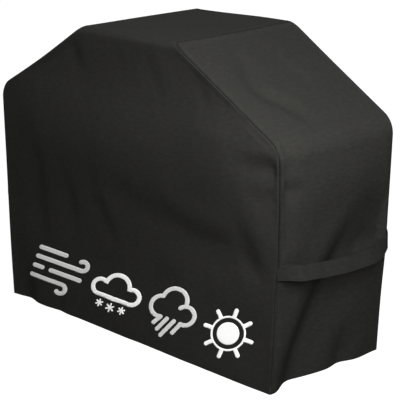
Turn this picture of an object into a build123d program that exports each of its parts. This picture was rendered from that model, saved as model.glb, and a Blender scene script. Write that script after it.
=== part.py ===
from build123d import *
from math import atan2, degrees, hypot
import os

os.makedirs("parts", exist_ok=True)

# A fitted cover for a barbecue: a sewn fabric box with sloped shoulders, open at the bottom.
# Millimetres. The origin is on the ground at the middle of the hem, +Z is up and -Y is the front.

# Outside faces of the standing cover
TOP_HEIGHT = 1170
TOP_WIDTH = 486
TOP_DEPTH = 610
SHOULDER_HEIGHT = 878
SHOULDER_WIDTH = 1470
HEM_WIDTH = 1431
HEM_DEPTH = 590
SHOULDER_FOLD = 60  # radius of the soft fold between each side and its slope, which has no seam
TOP_FOLD = 25  # radius of the folds between the front, the top and the back

# Cloth
FABRIC = 0.8
HEM = 28  # height of the turned-up hem
BINDING_WIDTH = 12
BINDING_THICKNESS = 3  # the tape with both seam allowances inside it
THREAD = 0.6
THREAD_PROUD = 0.4
SEAM_THREAD_INSET = 8  # from the seam to its row of stitches
HEM_THREAD_HEIGHT = 24
HEM_THREAD_END = 10  # the hem's stitches stop this far from the corner seams

# Carrying handle: a flat strap sewn into the front and back corner seams
STRAP_WIDTH = 57
STRAP_THICKNESS = 2.6
STRAP_STANDOFF = 46  # from the side of the cover to the strap's middle layer
STRAP_BOW = 4  # how much further out its middle stands
STRAP_HEIGHT = 452  # middle of the sewn ends
STRAP_SAG = 33
STRAP_FRONT_RAMP = 80  # length over which it leaves the side at the front
STRAP_FRONT_FOLD = 60
STRAP_REAR_RAMP = 144  # it comes back more slowly at the rear, and turns in at a knee near the seam
STRAP_REAR_FOLD = 150
STRAP_KNEE = 32  # from the rear seam to the knee
STRAP_KNEE_STANDOFF = 20
STRAP_KNEE_FOLD = 40
STRAP_BOW_FOLD = 1000  # radius at the middle of the bow
STRAP_FRONT_END = 84  # the twisting length at the front, from the seam to the part that lifts
STRAP_REAR_END = 140
STRAP_THREAD_INSET = 5  # from the strap's edges to its rows of stitches

# Printed weather symbols, drawn upright about their own centres and then laid on the front
INK = 0.3
STROKE = 17
# name: (centre across, centre up, size, stretch across, lean to the right for each unit up)
PRINTS = {
    "wind_print": (-426, 159, 1.14, 1.28, 0.51),
    "snow_cloud_print": (-86, 165, 1.08, 1.23, 0.48),
    "rain_cloud_print": (223, 168, 1.03, 1.18, 0.44),
    "sun_print": (507, 169, 0.98, 1.14, 0.41),
}

SIDE_LEAN = (SHOULDER_WIDTH - HEM_WIDTH) / 2 / SHOULDER_HEIGHT
FRONT_LEAN = (TOP_DEPTH - HEM_DEPTH) / 2 / TOP_HEIGHT
UNDERGROUND = 60  # outlines are drawn this far below the hem and then cut at the ground
REACH = 1000  # further than any face from the middle


def side_x(height):
    """How far a side's outside face is from the middle at this height."""
    return HEM_WIDTH / 2 + SIDE_LEAN * height


def front_y(height):
    """How far the front's and the back's outside faces are from the middle at this height."""
    return HEM_DEPTH / 2 + FRONT_LEAN * height


def end_outline(inset):
    """The cover seen from the front, with its sides, slopes and top moved in by inset."""
    with BuildSketch(Plane.XZ) as outline:
        with BuildLine():
            Polyline(
                (-side_x(-UNDERGROUND), -UNDERGROUND),
                (-SHOULDER_WIDTH / 2, SHOULDER_HEIGHT),
                (-TOP_WIDTH / 2, TOP_HEIGHT),
                (TOP_WIDTH / 2, TOP_HEIGHT),
                (SHOULDER_WIDTH / 2, SHOULDER_HEIGHT),
                (side_x(-UNDERGROUND), -UNDERGROUND),
                close=True,
            )
        make_face()
        if inset:
            offset(amount=-inset, kind=Kind.INTERSECTION)
        shoulders = outline.vertices().group_by(Axis.Y)[1]
        fillet(shoulders, radius=SHOULDER_FOLD - inset)
        with Locations((0, REACH)):
            Rectangle(2 * REACH, 2 * REACH, mode=Mode.INTERSECT)
    return outline.sketch


def body_outline(inset):
    """The cover seen from the side, with its front, top and back moved in by inset."""
    with BuildSketch(Plane.YZ) as outline:
        with BuildLine():
            Polyline(
                (-front_y(-UNDERGROUND), -UNDERGROUND),
                (-TOP_DEPTH / 2, TOP_HEIGHT),
                (TOP_DEPTH / 2, TOP_HEIGHT),
                (front_y(-UNDERGROUND), -UNDERGROUND),
                close=True,
            )
        make_face()
        if inset:
            offset(amount=-inset, kind=Kind.INTERSECTION)
        top_edges = outline.vertices().group_by(Axis.Y)[-1]
        fillet(top_edges, radius=TOP_FOLD - inset)
        with Locations((0, REACH)):
            Rectangle(2 * REACH, 2 * REACH, mode=Mode.INTERSECT)
    return outline.sketch


def end_block(inset, mode=Mode.ADD):
    extrude(end_outline(inset), amount=REACH, both=True, mode=mode)


def body_block(inset, mode=Mode.ADD):
    extrude(body_outline(inset), amount=REACH, both=True, mode=mode)


def keep_box(low, high):
    """Keeps only what is inside this box."""
    middle = [(a + b) / 2 for a, b in zip(low, high)]
    with Locations(tuple(middle)):
        Box(*[b - a for a, b in zip(low, high)], mode=Mode.INTERSECT)


# Cloth panels -----------------------------------------------------------------------------------

# Inner layer of the body panel's hem, front and back
with BuildPart() as body_hem:
    body_block(FABRIC)
    body_block(2 * FABRIC, mode=Mode.SUBTRACT)
    end_block(FABRIC, mode=Mode.INTERSECT)
    keep_box((-REACH, -REACH, 0), (REACH, REACH, HEM))

# One length of cloth makes the front, the top and the back
with BuildPart() as body_panel:
    body_block(0)
    body_block(FABRIC, mode=Mode.SUBTRACT)
    end_block(0, mode=Mode.INTERSECT)
    add(body_hem.part)

with BuildPart() as end_hem:
    end_block(FABRIC)
    end_block(2 * FABRIC, mode=Mode.SUBTRACT)
    body_block(2 * FABRIC, mode=Mode.INTERSECT)
    keep_box((0, -REACH, 0), (REACH, REACH, HEM))

# A second length makes each side and its slope
with BuildPart() as right_end_panel:
    end_block(0)
    end_block(FABRIC, mode=Mode.SUBTRACT)
    body_block(FABRIC, mode=Mode.INTERSECT)
    keep_box((0, -REACH, 0), (REACH, REACH, TOP_HEIGHT))
    add(end_hem.part)

with BuildPart() as left_end_panel:
    mirror(right_end_panel.part, about=Plane.YZ)

# Seam bindings and their stitches ---------------------------------------------------------------

# The tape starts above the front hem, goes up the side and the slope, crosses under the top seam
# and comes down the back
binding_top_edge = TOP_WIDTH / 2 - BINDING_WIDTH - BINDING_THICKNESS
with BuildPart() as right_seam_binding:
    end_block(FABRIC)
    end_block(FABRIC + BINDING_WIDTH, mode=Mode.SUBTRACT)
    body_block(FABRIC, mode=Mode.INTERSECT)
    body_block(FABRIC + BINDING_THICKNESS, mode=Mode.SUBTRACT)
    keep_box((binding_top_edge, -REACH, HEM), (REACH, REACH, TOP_HEIGHT))

with BuildPart() as left_seam_binding:
    mirror(right_seam_binding.part, about=Plane.YZ)

tape_face = FABRIC + BINDING_THICKNESS
with BuildPart() as right_seam_stitching:
    end_block(FABRIC + SEAM_THREAD_INSET)
    end_block(FABRIC + SEAM_THREAD_INSET + THREAD, mode=Mode.SUBTRACT)
    body_block(tape_face, mode=Mode.INTERSECT)
    body_block(tape_face + THREAD_PROUD, mode=Mode.SUBTRACT)
    keep_box((binding_top_edge, -REACH, HEM), (REACH, REACH, TOP_HEIGHT))
    thread_x = TOP_WIDTH / 2 - SEAM_THREAD_INSET
    thread_z = TOP_HEIGHT - tape_face - THREAD_PROUD / 2
    with Locations((thread_x, 0, thread_z)):
        Box(THREAD, TOP_DEPTH - 2 * TOP_FOLD, THREAD_PROUD)

with BuildPart() as left_seam_stitching:
    mirror(right_seam_stitching.part, about=Plane.YZ)

# Hem stitches, proud of the outside faces -------------------------------------------------------

thread_low = HEM_THREAD_HEIGHT - THREAD / 2
thread_high = HEM_THREAD_HEIGHT + THREAD / 2

with BuildPart() as front_hem_stitching:
    body_block(-THREAD_PROUD)
    body_block(0, mode=Mode.SUBTRACT)
    end_block(HEM_THREAD_END, mode=Mode.INTERSECT)
    keep_box((-REACH, -REACH, thread_low), (REACH, 0, thread_high))

with BuildPart() as back_hem_stitching:
    mirror(front_hem_stitching.part, about=Plane.XZ)

with BuildPart() as right_hem_stitching:
    end_block(-THREAD_PROUD)
    end_block(0, mode=Mode.SUBTRACT)
    body_block(HEM_THREAD_END, mode=Mode.INTERSECT)
    keep_box((0, -REACH, thread_low), (REACH, REACH, thread_high))

with BuildPart() as left_hem_stitching:
    mirror(right_hem_stitching.part, about=Plane.YZ)

# Handles ----------------------------------------------------------------------------------------

strap_seam_y = front_y(STRAP_HEIGHT) - FABRIC
strap_root_x = side_x(STRAP_HEIGHT)


def strap_plan(thickness):
    """The strap seen from above, standing off the side of the cover, as a band this thick."""
    with BuildSketch(Plane.XY) as plan:
        with BuildLine():
            FilletPolyline(
                (strap_root_x, -strap_seam_y),
                (strap_root_x + STRAP_STANDOFF, -strap_seam_y + STRAP_FRONT_RAMP),
                (strap_root_x + STRAP_STANDOFF + STRAP_BOW, 0),
                (strap_root_x + STRAP_STANDOFF, strap_seam_y - STRAP_REAR_RAMP),
                (strap_root_x + STRAP_KNEE_STANDOFF, strap_seam_y - STRAP_KNEE),
                (strap_root_x, strap_seam_y),
                radius=[STRAP_FRONT_FOLD, STRAP_BOW_FOLD, STRAP_REAR_FOLD, STRAP_KNEE_FOLD],
            )
        trace(line_width=thickness)
    return plan.sketch


def strap_side(above, below):
    """The sagging strap seen from the side, between two curves given from its middle line."""
    with BuildSketch(Plane.YZ) as side:
        with BuildLine():
            for rise in (above, below):
                end_height = STRAP_HEIGHT + rise
                ThreePointArc(
                    (-strap_seam_y, end_height),
                    (0, end_height - STRAP_SAG),
                    (strap_seam_y, end_height),
                )
            for end in (-strap_seam_y, strap_seam_y):
                Line((end, STRAP_HEIGHT + above), (end, STRAP_HEIGHT + below))
        make_face()
    return side.sketch


# The whole strap, cut to the outside faces of the cover
with BuildPart() as whole_strap:
    extrude(strap_plan(STRAP_THICKNESS), amount=REACH)
    extrude(strap_side(STRAP_WIDTH / 2, -STRAP_WIDTH / 2), amount=REACH, mode=Mode.INTERSECT)
    end_block(0, mode=Mode.SUBTRACT)

# The part that lifts lies between these
lift_front = -strap_seam_y + STRAP_FRONT_END
lift_rear = strap_seam_y - STRAP_REAR_END

with BuildPart() as right_handle_strap:
    add(whole_strap.part)
    keep_box((0, lift_front, 0), (REACH, lift_rear, REACH))

with BuildPart() as right_handle_front_end:
    add(whole_strap.part)
    keep_box((0, -REACH, 0), (REACH, lift_front, REACH))

with BuildPart() as right_handle_rear_end:
    add(whole_strap.part)
    keep_box((0, lift_rear, 0), (REACH, REACH, REACH))

# Two rows of stitches near the strap's edges, on both of its faces
with BuildPart() as right_handle_stitching:
    row = STRAP_WIDTH / 2 - STRAP_THREAD_INSET
    extrude(strap_side(row + THREAD / 2, row - THREAD / 2), amount=REACH)
    extrude(strap_side(-row + THREAD / 2, -row - THREAD / 2), amount=REACH)
    extrude(strap_plan(STRAP_THICKNESS + 2 * THREAD_PROUD), amount=REACH, mode=Mode.INTERSECT)
    extrude(strap_plan(STRAP_THICKNESS), amount=REACH, mode=Mode.SUBTRACT)
    keep_box((0, lift_front, 0), (REACH, lift_rear, REACH))

with BuildPart() as left_handle_strap:
    mirror(right_handle_strap.part, about=Plane.YZ)

with BuildPart() as left_handle_front_end:
    mirror(right_handle_front_end.part, about=Plane.YZ)

with BuildPart() as left_handle_rear_end:
    mirror(right_handle_rear_end.part, about=Plane.YZ)

with BuildPart() as left_handle_stitching:
    mirror(right_handle_stitching.part, about=Plane.YZ)

# Printed symbols --------------------------------------------------------------------------------


def stroke(path, width=STROKE):
    """A drawn line of even width with round ends, along the edges of a BuildLine."""
    trace(path.line, line_width=width)
    ends = [path.line @ 0, path.line @ 1]
    with Locations(*ends):
        Circle(width / 2)


def straight(start, end, width=STROKE):
    with BuildLine(mode=Mode.PRIVATE) as path:
        Line(start, end)
    stroke(path, width)


def arc(centre, radius, start_angle, size, width=STROKE):
    with BuildLine(mode=Mode.PRIVATE) as path:
        CenterArc(centre, radius, start_angle, size)
    stroke(path, width)


def draw_wind():
    left = -97
    with BuildSketch(Plane.XY) as drawing:
        straight((left, 75), (7, 75))
        straight((left, 38), (81, 38))
        arc((81, 56), 18, -90, 220)
        straight((left, 0), (-65, 0))
        straight((-30, 0), (88, 0))
        straight((left, -39), (31, -39))
        arc((31, -57), 18, 90, -220)
    return drawing.sketch


def draw_snow_cloud():
    lobe, lobe_x, dome, dome_y = 30, 67, 49, 22
    base_line = 16
    with BuildSketch(Plane.XY) as drawing:
        for edge, mode in ((STROKE / 2, Mode.ADD), (-STROKE / 2, Mode.SUBTRACT)):
            with Locations((-lobe_x, 4), (lobe_x, 4)):
                Circle(lobe + edge, mode=mode)
            with Locations((0, dome_y)):
                Circle(dome + edge, mode=mode)
            with Locations((0, 4 - lobe - edge)):
                Rectangle(2 * lobe_x, dome + edge, align=(Align.CENTER, Align.MIN), mode=mode)
        for flake_x, flake_y, arm in ((-48, -60, 13), (0, -64, 16), (48, -60, 13)):
            for turn in (30, 90, 150):
                with Locations(Location((flake_x, flake_y), turn)):
                    SlotCenterToCenter(2 * arm, 6.5)
    return drawing.sketch


def draw_rain_cloud():
    with BuildSketch(Plane.XY) as drawing:
        arc((-6, 48), 50, 0, 175)
        arc((-51, 10), 42, 98, 190)
        arc((55, 6), 37, 141, -241)
        straight((-38, -30), (-57, -62))
        straight((-10, -29), (-34, -82))
        straight((20, -29), (-11, -100))
        straight((49, -31), (31, -75))
    return drawing.sketch


def draw_sun():
    disc, ring_inside, ring_outside, ray_tip = 46, 64, 72, 99
    with BuildSketch(Plane.XY) as drawing:
        Circle(ring_outside)
        with PolarLocations((ring_outside + ray_tip) / 2 - 2, 8):
            SlotCenterToCenter(ray_tip - ring_outside + 4, STROKE)
        Circle(ring_inside, mode=Mode.SUBTRACT)
        Circle(disc)
    return drawing.sketch


def lean_and_stretch(drawing, size, stretch, lean):
    """The drawing with each point (u, v) moved to size * (stretch * u + lean * v, v).

    Any such change is a turn, two scales at right angles and a second turn.
    """
    even, uneven = (stretch + 1) / 2, (stretch - 1) / 2
    half_lean = lean / 2
    large, small = hypot(even, half_lean), hypot(uneven, half_lean)
    sum_angle, difference_angle = atan2(-half_lean, even), atan2(half_lean, uneven)
    first_turn = degrees(sum_angle - difference_angle) / 2
    second_turn = degrees(sum_angle + difference_angle) / 2
    turned = drawing.rotate(Axis.Z, first_turn)
    scaled = scale(turned, by=(size * (large + small), size * (large - small), 1))
    return scaled.rotate(Axis.Z, second_turn)


drawings = {
    "wind_print": draw_wind(),
    "snow_cloud_print": draw_snow_cloud(),
    "rain_cloud_print": draw_rain_cloud(),
    "sun_print": draw_sun(),
}
prints = {}
for name, (across, up, size, stretch, lean) in PRINTS.items():
    cloth = Plane(origin=(across, -front_y(up), up), x_dir=(1, 0, 0), z_dir=(0, -1, -FRONT_LEAN))
    shape = cloth * lean_and_stretch(drawings[name], size, stretch, lean)
    with BuildPart() as ink:
        extrude(shape, amount=INK, dir=cloth.z_dir)
    prints[name] = ink

# Output -----------------------------------------------------------------------------------------

pieces = {
    "body_panel": body_panel,
    "right_end_panel": right_end_panel,
    "left_end_panel": left_end_panel,
    "right_seam_binding": right_seam_binding,
    "left_seam_binding": left_seam_binding,
    "right_seam_stitching": right_seam_stitching,
    "left_seam_stitching": left_seam_stitching,
    "front_hem_stitching": front_hem_stitching,
    "back_hem_stitching": back_hem_stitching,
    "right_hem_stitching": right_hem_stitching,
    "left_hem_stitching": left_hem_stitching,
    "right_handle_strap": right_handle_strap,
    "left_handle_strap": left_handle_strap,
    "right_handle_front_end": right_handle_front_end,
    "right_handle_rear_end": right_handle_rear_end,
    "left_handle_front_end": left_handle_front_end,
    "left_handle_rear_end": left_handle_rear_end,
    "right_handle_stitching": right_handle_stitching,
    "left_handle_stitching": left_handle_stitching,
    **prints,
}
for name, piece in pieces.items():
    piece.part.label = name
    export_step(piece.part, f"parts/{name}.step")
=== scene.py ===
import math

import bmesh
import bpy
import numpy as np
from mathutils import Matrix, Vector
from mathutils.kdtree import KDTree


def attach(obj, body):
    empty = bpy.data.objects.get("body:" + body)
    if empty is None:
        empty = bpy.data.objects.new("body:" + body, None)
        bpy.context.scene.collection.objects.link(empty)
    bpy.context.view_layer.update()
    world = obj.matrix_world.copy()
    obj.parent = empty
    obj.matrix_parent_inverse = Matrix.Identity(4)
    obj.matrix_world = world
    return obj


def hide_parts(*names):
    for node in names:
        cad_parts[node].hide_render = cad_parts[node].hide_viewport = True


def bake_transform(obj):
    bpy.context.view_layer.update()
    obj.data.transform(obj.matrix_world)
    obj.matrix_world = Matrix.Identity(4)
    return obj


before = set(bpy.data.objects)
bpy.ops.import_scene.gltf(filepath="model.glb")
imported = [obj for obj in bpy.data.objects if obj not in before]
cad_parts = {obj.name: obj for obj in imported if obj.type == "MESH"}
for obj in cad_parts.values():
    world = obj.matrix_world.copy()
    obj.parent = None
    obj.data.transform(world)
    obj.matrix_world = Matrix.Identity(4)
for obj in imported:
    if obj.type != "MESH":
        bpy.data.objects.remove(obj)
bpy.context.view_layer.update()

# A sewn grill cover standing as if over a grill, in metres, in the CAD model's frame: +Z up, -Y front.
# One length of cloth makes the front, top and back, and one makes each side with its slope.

# ---- Outline of the cover ----


def cad_points(node):
    return np.array([v.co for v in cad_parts[node].data.vertices])


body_points = cad_points("body_panel")
hem_points = body_points[body_points[:, 2] < 0.0005]
top_points = body_points[body_points[:, 2] > body_points[:, 2].max() - 0.0005]

HEIGHT = float(body_points[:, 2].max())
HEM_HALF_WIDTH = float(hem_points[:, 0].max())
HEM_HALF_DEPTH = float(hem_points[:, 1].max())
TOP_HALF_WIDTH = float(top_points[:, 0].max())
TOP_FOLD = 0.025  # radius of the folds between the front, the top and the back
TOP_HALF_DEPTH = float(top_points[:, 1].max()) + TOP_FOLD
SHOULDER_HALF_WIDTH = 0.736  # the corner that the shoulder fold rounds off
SHOULDER_HEIGHT = 0.879
SHOULDER_FOLD = 0.085  # its radius

CLOTH = 0.0007
HEM_TURN_UP = 0.028
SEAM_ROLL = 0.0026  # radius with which each cloth rolls inwards at a seam
SEAM_PRESS = 0.0002  # how hard the two cloths press together there
SEAM_PUFF = 0.0007  # how far the cloth stands proud over the seam allowances
PUFF_MIDDLE, PUFF_WIDTH = 0.011, 0.006  # where that is, from the seam
FOLDS_START, FOLDS_FULL = 0.003, 0.036  # the distances from a seam between which the folds grow
CELL = 0.0100  # spacing of the panels' mesh
EDGE_STEPS = (0.0, 0.0009, 0.0018, 0.0027, 0.0037, 0.0048, 0.0061, 0.0080, 0.0105, 0.0145, 0.021, 0.030)


def unit(vector):
    """This vector at length 1, or each row of an array at length 1."""
    return vector / np.linalg.norm(vector, axis=-1, keepdims=True)


def lengths_along(points):
    """How far along a line of points each one is."""
    return np.concatenate([[0], np.cumsum(np.linalg.norm(np.diff(points, axis=0), axis=1))])


def row_at(across, place):
    """Flat points at these distances across a panel, all at one place along it."""
    return np.stack([across, np.full(len(across), place)], 1)


class Path:
    """A line of straight runs joined by arcs, in a plane, measured along its length."""

    def __init__(self, corners, radii):
        corners = [np.array(c, float) for c in corners]
        self.runs = []
        start = corners[0]
        for i, radius in enumerate(radii, 1):
            before = unit(corners[i] - corners[i - 1])
            after = unit(corners[i + 1] - corners[i])
            turn = math.atan2(before[0] * after[1] - before[1] * after[0], before @ after)
            cut = radius * math.tan(abs(turn) / 2)
            arc_start = corners[i] - before * cut
            self.add_line(start, arc_start)
            self.runs.append((radius * abs(turn), arc_start, before, math.copysign(1 / radius, turn)))
            start = corners[i] + after * cut
        self.add_line(start, corners[-1])
        self.length = sum(run[0] for run in self.runs)

    def add_line(self, start, end):
        self.runs.append((float(np.linalg.norm(end - start)), start, unit(end - start), 0.0))

    def at(self, s):
        """Positions and unit tangents at these distances along the path."""
        s = np.asarray(s, float)
        position = np.zeros(s.shape + (2,))
        tangent = np.zeros(s.shape + (2,))
        begin = 0.0
        last = len(self.runs) - 1
        for i, (length, start, direction, curvature) in enumerate(self.runs):
            here = (s >= begin if i else s > -math.inf) & (s < begin + length if i < last else s < math.inf)
            along = s[here] - begin
            side = np.array([-direction[1], direction[0]])
            if curvature:
                angle = along * curvature
                position[here] = (start + np.outer(np.sin(angle), direction) / curvature
                                  + np.outer(1 - np.cos(angle), side) / curvature)
                tangent[here] = np.outer(np.cos(angle), direction) + np.outer(np.sin(angle), side)
            else:
                position[here] = start + np.outer(along, direction)
                tangent[here] = direction
            begin += length
        return position, tangent


end_path = Path(  # across and up: the right side, the shoulder fold and the slope
    [(HEM_HALF_WIDTH, 0), (SHOULDER_HALF_WIDTH, SHOULDER_HEIGHT), (TOP_HALF_WIDTH, HEIGHT)],
    [SHOULDER_FOLD],
)
body_path = Path(  # back and up: the front, the top and the back
    [(-HEM_HALF_DEPTH, 0), (-TOP_HALF_DEPTH, HEIGHT), (TOP_HALF_DEPTH, HEIGHT), (HEM_HALF_DEPTH, 0)],
    [TOP_FOLD, TOP_FOLD],
)
SLOPE_LENGTH = 0.56  # from the top seam down to the shoulder
FRONT_LENGTH = body_path.runs[0][0]  # hem to the top fold
FOLD_LENGTH = body_path.runs[1][0]
TOP_LENGTH = body_path.runs[2][0]
TOP_START = FRONT_LENGTH + FOLD_LENGTH
BACK_START = TOP_START + TOP_LENGTH

fine = np.linspace(0, end_path.length, 6000)
end_fine = end_path.at(fine)[0]
fine_front = np.linspace(0, TOP_START, 6000)
front_fine = body_path.at(fine_front)[0]


def half_width_at(height):
    return np.interp(height, end_fine[:, 1], end_fine[:, 0])


def half_depth_at(height):
    return np.interp(height, front_fine[:, 1], -front_fine[:, 0])


def end_tangent_at(height):
    return end_path.at(np.interp(height, end_fine[:, 1], fine))[1]


def normals(tangent, turn):
    """Unit normals beside these tangents, a quarter turn to the left (1) or to the right (-1)."""
    return np.stack([-tangent[:, 1], tangent[:, 0]], 1) * turn


# ---- Folds ----


def smooth_step(value, low, high):
    t = np.clip((value - low + 1e-12) / (high - low + 1e-12), 0, 1)
    return t * t * (3 - 2 * t)


def curve_through(points, count=48):
    """Points on a smooth Catmull-Rom curve through these ones."""
    points = np.array(points, float)
    ends = [2 * points[0] - points[1], 2 * points[-1] - points[-2]]
    knots = np.vstack([ends[0], points, ends[1]])
    t = np.linspace(0, len(points) - 1 - 1e-9, count)
    i = t.astype(int)
    f = (t - i)[:, None]
    a, b, c, d = knots[i], knots[i + 1], knots[i + 2], knots[i + 3]
    bend, twist = 2 * a - 5 * b + 4 * c - d, 3 * b - a - 3 * c + d
    return 0.5 * (2 * b + (c - a) * f + bend * f ** 2 + twist * f ** 3)


def crease(at, points, depth, width, rise=0.5, spread=1.7, ends=(0.35, 0.35), slack=1.0):
    """Outward displacement of a soft valley along a curve, with a ridge of rise times its depth beside it.

    A positive spread puts the ridge on the curve's left. It fades over the given shares of its length.
    The valley is wider by slack on the curve's right.
    """
    line = curve_through(points)
    run, distance = np.zeros(len(at)), np.full(len(at), np.inf)
    signed = np.zeros(len(at))
    for k in range(len(line) - 1):
        step = line[k + 1] - line[k]
        offset = at - line[k]
        share = np.clip(offset @ step / (step @ step), 0, 1)
        gap = offset - share[:, None] * step
        d = np.hypot(gap[:, 0], gap[:, 1])
        nearer = d < distance
        distance = np.where(nearer, d, distance)
        run = np.where(nearer, (k + share) / (len(line) - 1), run)
        side = np.sign(step[0] * offset[:, 1] - step[1] * offset[:, 0])
        signed = np.where(nearer, d * side, signed)
    fade = smooth_step(run, 0, ends[0]) * smooth_step(1 - run, 0, ends[1])
    valley = -np.exp(-(distance / np.where(signed < 0, width * slack, width)) ** 2)
    ridge = rise * np.exp(-((signed - spread * width) / (1.1 * width)) ** 2)
    ridge *= smooth_step(width * 6 - distance, 0, width * 3)
    return depth * (valley + ridge) * fade


def swell(at, centre, size, height):
    """Outward displacement of a soft bulge, or of a hollow where height is negative."""
    offset = (at - np.array(centre)) / np.array(size)
    return height * np.exp(-(offset ** 2).sum(1))


def soft_noise(at, seed, size, heading=0.0, stretch=1.0, octaves=3):
    """Smooth random relief from about -1 to 1: lumps of this size, longer by stretch along the heading."""
    table = np.random.default_rng(seed).uniform(-1, 1, (64, 64))
    turn = math.radians(heading)
    along = at @ np.array([math.cos(turn), math.sin(turn)]) / stretch
    across = at @ np.array([-math.sin(turn), math.cos(turn)])
    total = np.zeros(len(at))
    for octave in range(octaves):
        u, v = along * 2 ** octave / size + 20.3, across * 2 ** octave / size + 20.7
        i, j = np.floor(u).astype(int), np.floor(v).astype(int)
        f, g = u - i, v - j
        f, g = (t ** 3 * (t * (6 * t - 15) + 10) for t in (f, g))
        low = table[i % 64, j % 64] * (1 - f) + table[(i + 1) % 64, j % 64] * f
        high = table[i % 64, (j + 1) % 64] * (1 - f) + table[(i + 1) % 64, (j + 1) % 64] * f
        total += (low * (1 - g) + high * g) / 2 ** octave
    return total / 1.5


def rumple(at, seed, heading, height):
    """The shallow, uneven relief of stiff cloth that was folded once."""
    broad = soft_noise(at, seed, 0.15, heading, 2.0, 2)
    folds = 1 - np.abs(soft_noise(at, seed + 1, 0.11, heading + 15, 2.6, 2)) * 2.4
    fine = soft_noise(at, seed + 2, 0.035, heading - 30, 1.6, 2)
    return height * (broad + 0.35 * np.clip(folds, 0, 1) + 0.22 * fine)


def on_slope(*points):
    """Points of an end panel's flat plane, from (back, distance up the slope)."""
    return [(y, end_path.length - SLOPE_LENGTH + s) for y, s in points]


def total(at, folds):
    """Outward displacement of all these creases and swells."""
    return sum(shape(at, *measures) for shape, *measures in folds)


# How the front and the back stand out over the grill's shelf and firebox and hang in above and below
FRONT_PROFILE = ((0.0, 0.0), (0.12, -0.003), (0.3, -0.006), (0.44, -0.004), (0.58, 0.007), (0.7, 0.019),
                 (0.79, 0.0205), (0.88, 0.0125), (0.97, -0.001), (1.05, -0.005), (1.12, -0.002),
                 (1.17, 0.0))
PROFILE_END, PROFILE_FADE = 0.76, 0.3  # how far to each side it goes, and the width it dies out over


def stand_out(at, sway, pace, start):
    """That profile over the middle of the front or back, higher and lower by sway from side to side."""
    x, z = at[:, 0], at[:, 1]
    line = curve_through(FRONT_PROFILE, 160)
    middle = smooth_step(PROFILE_END - np.abs(x), 0.0, PROFILE_FADE)
    return np.interp(z + sway * np.cos(x * pace + start), line[:, 0], line[:, 1]) * middle


# Each row of the folds is what crease or swell takes after the points
FRONT_FOLDS = (
    (swell, (0.46, 0.8), (0.13, 0.11), 0.005),
    (swell, (0.64, 0.575), (0.1, 0.08), 0.006),
    (swell, (0.6, 0.3), (0.12, 0.08), 0.003),
    # long folds that sag from the left and rise to the right corner
    (crease, [(-0.12, 0.66), (-0.02, 0.58), (0.12, 0.515), (0.28, 0.47)],
     0.0045, 0.048, 0.15, -1.9, (0.35, 0.35), 2.0),
    (crease, [(0.07, 0.61), (0.2, 0.53), (0.34, 0.487), (0.47, 0.485), (0.58, 0.535)],
     0.0078, 0.048, 0.35, 1.9, (0.35, 0.25), 2.2),
    (crease, [(0.555, 0.65), (0.563, 0.56), (0.58, 0.485), (0.63, 0.43), (0.71, 0.415)],
     0.0082, 0.045, 0.25, 1.8, (0.35, 0.3)),
    (crease, [(0.57, 0.71), (0.63, 0.695), (0.69, 0.67)], 0.0035, 0.032, 0.3, 1.8),
    # pinch under the right shoulder, with a soft ledge beside it
    (crease, [(0.53, 0.8), (0.63, 0.8), (0.73, 0.807)], 0.013, 0.033, 0.35, 1.7, (0.8, 0.12), 2.6),
    (swell, (0.715, 0.757), (0.05, 0.034), 0.0095),
    (swell, (0.47, 0.875), (0.14, 0.045), 0.004),
    # short folds hanging from the top fold
    (crease, [(-0.3, 1.14), (-0.29, 1.06), (-0.26, 0.98)], 0.0048, 0.036, 0.5, 1.6),
    (crease, [(-0.08, 1.15), (-0.06, 1.09), (-0.05, 1.02)], 0.0014, 0.03, 0.5, 1.6),
    (crease, [(0.1, 1.14), (0.125, 1.05), (0.14, 0.95)], 0.0025, 0.038, 0.5, 1.6),
    (crease, [(0.33, 1.07), (0.38, 1.01), (0.42, 0.95)], 0.003, 0.028, 0.5, 1.6),
    # lower left: folds that fall to the hem
    (crease, [(-0.51, 0.7), (-0.53, 0.48), (-0.55, 0.27)], 0.006, 0.046, 0.4, 1.7),
    (crease, [(-0.36, 0.62), (-0.34, 0.46), (-0.35, 0.3)], 0.0035, 0.04, 0.5, 1.7),
    (crease, [(-0.59, 0.1), (-0.6, 0.05), (-0.61, 0.0)], 0.007, 0.036, 0.4, 1.7, (0.9, 0.0)),
    (crease, [(-0.4, 0.1), (-0.41, 0.05), (-0.42, 0.0)], 0.004, 0.034, 0.5, 1.7, (0.9, 0.0)),
    (crease, [(-0.22, 0.56), (-0.15, 0.46), (-0.09, 0.34)], 0.003, 0.036, 0.5, 1.7),
)


def front_folds(at):
    """The front panel's shape, from (across, up)."""
    return stand_out(at, 0.025, 4.5, 0) + total(at, FRONT_FOLDS) + rumple(at, 3, 80, 0.002)


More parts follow.
